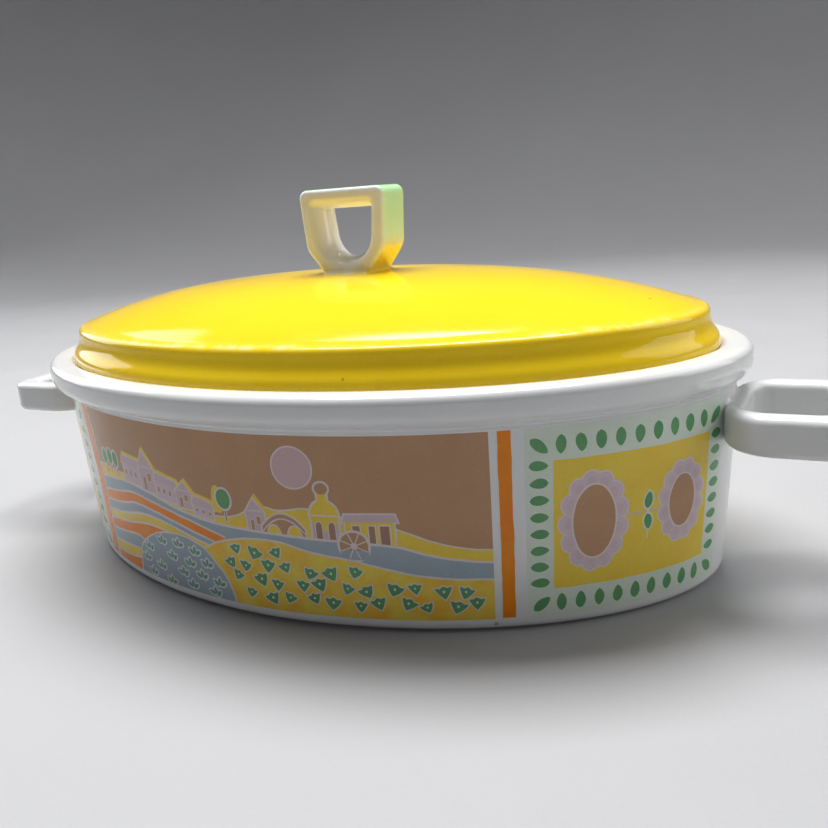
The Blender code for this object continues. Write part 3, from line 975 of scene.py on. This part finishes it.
def landscape():
    """A river valley: sky and moon, a village, striped fields, a knoll of sprigs and a sown meadow."""
    art = Print()
    art.add(rectangle(VIEW[0], PANEL_LOW, VIEW_RIGHT, PANEL_TOP), "tan", 0)
    art.outlined(ellipse(21, 58.2, 6.9, 6.9, 48), "moon", 0.6)
    art.below(RIDGE, "yellow", 0.4)
    for u, z in ((-79, 50.5), (-74.2, 51.2), (-69.6, 50.8)):
        tree(art, u, z, 1.9, 3.0, 3.4)
    terrace(art, -64, 43.6, 15, 7.2, 0.6)
    house(art, -47.2, 42.0, 8.2, 9.2, 6.4, -0.1)
    terrace(art, -43, 40.8, 13.5, 6.4, 1.6)
    house(art, -27.4, 38.8, 7.2, 6.6, 3.4, 0.12)
    terrace(art, -23.6, 37.4, 10.5, 3.8, 1.2)
    art.add(ellipse(-10.6, 44.6, 2.6, 5.2), "yellow")
    tree(art, -8, 45, 3.0, 3.6, 4.6)
    house(art, 4.6, 33.6, 6.6, 8.2, 4.4)
    bridge(art, 15, 33, 16, 8.6)
    mill(art, 45.6, 31.4)
    tower(art, 30.5, 32)
    art.below(RIVER, "blue")
    wheel(art, 39.6, 31.6, 4.9)
    for colour, curve in BANDS:
        art.below(curve, colour)
    art.outlined(spline(KNOLL), "blue", 0.7)
    meadow = spline(MEADOW)
    art.outlined(np.concatenate([meadow, [(85, 3)], spline(MEADOW_SIDE)[:-1]]), "meadow", 0.7)
    sow_knoll(art)
    sow_meadow(art, meadow)
    side_bars(art)
    return art


def sow_knoll(art):
    """Sprigs scattered in uneven rows over the knoll."""
    rows = ((22.3, (-46.5, -36.5, -27.5)), (17.0, (-56.5, -41.5, -31.5, -22.0)),
            (11.6, (-60.5, -50.5, -36.5, -26.0, -17.5)), (6.6, (-58.0, -45.5, -32.5, -20.5)))
    for row, (z, places) in enumerate(rows):
        for k, u in enumerate(places):
            sprig(art, u, z + 0.8 * sin(2.1 * k + row), 3.2, 14 * sin(5.0 * k + 2 * row))


def sow_meadow(art, meadow):
    """Rows of tufts wherever the meadow is high enough."""
    side_u, side_z = np.transpose(MEADOW_SIDE)
    for row in range(4):
        z = 26.8 - 5.5 * row
        for k in range(13):
            u = -14.5 + 8.2 * k + (4.0 if row % 2 else 0.0) + 1.0 * sin(3.0 * k + row)
            level = z + 0.9 * cos(1.7 * k + 2 * row)
            top = np.interp(u, meadow[:, 0], meadow[:, 1])
            left = np.interp(level, side_z, side_u)
            if level + 2.8 < top and left + 3.4 < u < 82:
                tuft(art, u, level, 2.4 + 0.3 * sin(4.0 * k), 26 * sin(2.6 * k + row))


def blossom(art, u, z, wide, tall, heart, petals):
    """An oval flower: a tan heart of the given half-sizes in a ring of round petals."""
    turns = (np.arange(petals) + 0.5) * 2 * pi / petals
    ring_u, ring_z = wide * 0.79, tall * 0.82
    size = PETAL_SIZE * pi * (ring_u + ring_z) / petals
    for out, half_u, half_z, colour, count in (
            (1.0, size + 0.55, size * 1.12 + 0.55, "pale", 20), (1.0, size, size * 1.12, "petal", 20),
            (0.97, size * 0.55, size * 0.62, "mauve", 16)):
        for t in turns:
            centre = (u + ring_u * out * cos(t), z + ring_z * out * sin(t))
            art.add(ellipse(*centre, half_u, half_z, count), colour, 0)
    art.outlined(ellipse(u, z, *heart, 48), "tan", 0.6)


def flower_panel():
    """Leaves marching round a yellow field with two blossoms and a sprig."""
    art = Print()
    art.add(rectangle(*FLOWERS), "mint", 0)
    art.add(rectangle(103.8, 14.4, 161.2, 58.2), "yellow")
    for k in range(9):
        u = 106.3 + 6.45 * k
        art.add(leaf(u, 63.2, 6.2, 3.5, -90), "green", 0.3)
        art.add(leaf(u, 9.4, 6.2, 3.5, 90), "green", 0.3)
    for k in range(8):
        z = 16.8 + 5.7 * k
        art.add(leaf(99.3, z, 6.2, 3.3, 0 if k % 3 else 180), "green", 0.3)
        art.add(leaf(165.1, z, 5.8, 3.3, 180), "green", 0.3)
    for u, z, turn in ((99.6, 63.2, -42), (164.4, 63.0, -138), (99.8, 9.2, 40), (165.0, 9.0, 140)):
        art.add(leaf(u, z, 7.0, 3.5, turn), "green", 0.2)
    art.add(ribbon([(126, 36.6), (144, 36.9)], 1.0), "petal")
    blossom(art, 117.0, 36.4, 10.9, 16.7, (7.0, 12.3), 13)
    blossom(art, 149.4, 37.4, 9.1, 13.6, (5.4, 9.0), 12)
    art.add(ribbon([(135.8, 27), (135.6, 36), (135.9, 44)], 0.7), "mint")
    for z, turn in ((40.4, 82), (33.0, -84)):
        art.outlined(leaf(135.8, z, 5.6, 2.9, turn), "green", 0.55, "mint")
    return art


def side_bars(art):
    """Bare glaze on both sides of the view, with an orange bar on it. The left one was laid on askew."""
    edge = spline(BAR_EDGE)
    end = -VIEW_END - VIEW_SLIP - 2
    art.add(np.concatenate([edge + (1.2, 0), [(end, 71), (end, 2)]]), "bare", 0)
    art.add(np.concatenate([edge, (edge - (LEFT_BAR_WIDTH, 0))[::-1]]), "orange", 0.2)
    art.add(rectangle(VIEW_RIGHT, 2, VIEW_END + 2, 71), "bare", 0)
    art.add(rectangle(RIGHT_BAR[0], PANEL_LOW + 0.2, RIGHT_BAR[1], PANEL_TOP + 1), "orange", 0.25)


def partitioned(art, clip):
    """Cuts the panel into triangles and sorts them by the topmost colour that covers each."""
    u0, z0, u1, z1 = clip
    spots, faces = [], []
    for outline, _ in [(divided(rectangle(*clip)), "")] + art.shapes:
        faces.append(list(range(len(spots), len(spots) + len(outline))))
        spots += [Vector((float(u), float(z))) for u, z in outline]
    spots += [Vector((float(u), float(z))) for u in np.arange(u0 + 1.5, u1, 3.0)
              for z in np.arange(z0 + 2.0, z1, 4.5)]
    points, _, triangles, _, _, owners = delaunay_2d_cdt(spots, [], faces, 0, 1e-5, True)
    by_colour = {}
    for triangle, owner in zip(triangles, owners):
        if 0 in owner and len(owner) > 1:
            colour = art.shapes[max(owner) - 1][1]
            by_colour.setdefault(colour, []).append(list(triangle))
    return np.array([(p.x, p.y) for p in points]), by_colour


def wrapped(points, triangles, place):
    """The used points put round the dish by place(u), their normals, and the triangles that use them."""
    used, index = np.unique(np.array(triangles).ravel(), return_inverse=True)
    faces = index.reshape(-1, 3)
    here, ahead = place(np.array([0.0, 1.0]))
    if here > ahead:
        faces = faces[:, ::-1]
    spots, normals = on_wall(place(points[used, 0]), points[used, 1], PRINT_LIFT)
    return spots, normals, faces


def build_print(materials):
    """One piece for each colour of the print, all round the dish."""
    view = partitioned(landscape(), VIEW)
    flowers = partitioned(flower_panel(), FLOWERS)
    gathered = {}

    def gather(parts, place):
        points, by_colour = parts
        for colour, triangles in by_colour.items():
            if colour != "bare":
                gathered.setdefault(colour, []).append(wrapped(points, triangles, place))

    for start in (0.0, GIRTH / 2):
        gather(view, lambda u: start + u)
        gather(flowers, lambda u: start + u)
        gather(flowers, lambda u: start - VIEW_SLIP - u)
    for colour, parts in sorted(gathered.items()):
        print_piece(colour, parts, materials[colour])


def print_piece(colour, parts, material):
    """One colour's skins in one mesh, shaded with the wall's own normals."""
    points, normals, faces = zip(*parts)
    starts = np.cumsum([0, *map(len, points[:-1])])
    faces = np.concatenate([rows + start for rows, start in zip(faces, starts)])
    item = mesh_piece("print_" + colour, np.concatenate(points), faces, material, "dish")
    item.data.normals_split_custom_set_from_vertices(np.concatenate(normals).tolist())


PRINT_COLOURS = {
    "tan": ((0.49, 0.285, 0.155), (0.45, 0.255, 0.135)),
    "moon": ((0.62, 0.43, 0.45), (0.58, 0.40, 0.42)),
    "mauve": ((0.60, 0.46, 0.49), (0.64, 0.50, 0.52)),
    "petal": ((0.63, 0.50, 0.55), (0.67, 0.54, 0.58)),
    "pale": ((0.70, 0.62, 0.60), (0.66, 0.60, 0.60)),
    "yellow": ((0.80, 0.60, 0.07), (0.80, 0.52, 0.05)),
    "meadow": ((0.80, 0.63, 0.09), (0.84, 0.42, 0.04), 0.85, 8),
    "orange": ((0.82, 0.22, 0.005), (0.85, 0.31, 0.01)),
    "blue": ((0.34, 0.42, 0.47), (0.29, 0.36, 0.42)),
    "green": ((0.11, 0.31, 0.13), (0.16, 0.38, 0.16)),
    "mint": ((0.66, 0.74, 0.64), (0.60, 0.70, 0.57)),
    "brown": ((0.36, 0.20, 0.14), (0.42, 0.26, 0.18)),
}

# ---- studio

SWEEP_RADIUS = 2200.0
SWEEP_CURVE = 900.0
SWEEP_HEIGHT = 2000.0
WORLD_COLOUR = (0.80, 0.82, 0.85, 1.0)
WORLD_STRENGTH = 0.12

# The photograph's camera: place in metres, turns in radians from level and square to the front.
CAMERA_PLACE = (0.18054, -0.30482, 0.14143)
CAMERA_YAW = -0.4839
CAMERA_PITCH = -0.2532
CAMERA_ROLL = -0.0778
CAMERA_LENS = 37.78


def build_floor():
    """A pale round floor whose edge sweeps up into a wall all round."""
    section = filleted([(0.02, 0.0, 0), (SWEEP_RADIUS, 0.0, SWEEP_CURVE),
                        (SWEEP_RADIUS, SWEEP_HEIGHT, 0)], step=6)
    rings = [np.column_stack([ellipse(0, 0, r, r, 96), np.full(96, z)]) for r, z in section]
    mesh_object("studio_floor", *strip(rings), floor_material())


def softbox(name, place, target, size, power, colour=(1.0, 1.0, 1.0)):
    """A rectangular light; place, target and size in metres, power in watts."""
    data = bpy.data.lights.new(name, "AREA")
    data.shape = "RECTANGLE"
    data.size, data.size_y = size
    data.energy = power
    data.color = colour
    lamp = linked(name, data)
    lamp.location = place
    lamp.rotation_euler = (Vector(target) - Vector(place)).to_track_quat("-Z", "Y").to_euler()


def build_lights():
    softbox("key_overhead", (-0.15, 0.25, 1.25), (0.0, 0.0, 0.06), (0.9, 0.6), 29.0)
    softbox("left_window", (-1.30, 0.20, 0.60), (0.0, 0.0, 0.05), (0.8, 0.9), 6.5, (0.97, 0.98, 1.0))
    softbox("right_edge", (1.15, 0.45, 0.65), (0.1, 0.0, 0.05), (0.9, 1.0), 6.5)
    world = bpy.data.worlds.new("studio")
    world.use_nodes = True
    background = world.node_tree.nodes["Background"]
    background.inputs["Color"].default_value = WORLD_COLOUR
    background.inputs["Strength"].default_value = WORLD_STRENGTH
    bpy.context.scene.world = world


def build_camera():
    data = bpy.data.cameras.new("camera")
    data.sensor_width = 36.0
    data.lens = CAMERA_LENS
    data.clip_start = 0.01
    turn = Matrix.Rotation(-CAMERA_YAW, 4, "Z")
    turn @= Matrix.Rotation(pi / 2 + CAMERA_PITCH, 4, "X")
    turn @= Matrix.Rotation(CAMERA_ROLL, 4, "Z")
    camera = linked("camera", data)
    camera.matrix_world = Matrix.Translation(CAMERA_PLACE) @ turn
    bpy.context.scene.camera = camera


def build_all():
    white = white_glaze()
    build_dish(white)
    build_foot_ring(bare_porcelain())
    build_grip("handle_right", 1.0, "side_handle_right", white)
    build_grip("handle_left", -1.0, "side_handle_left", white)
    build_print({name: print_glaze("print_" + name, *pair) for name, pair in PRINT_COLOURS.items()})
    build_lid(yellow_glaze())
    build_lid_loop(loop_glaze())
    build_floor()
    build_lights()
    build_camera()
    bpy.context.scene.view_settings.view_transform = "Standard"


build_all()
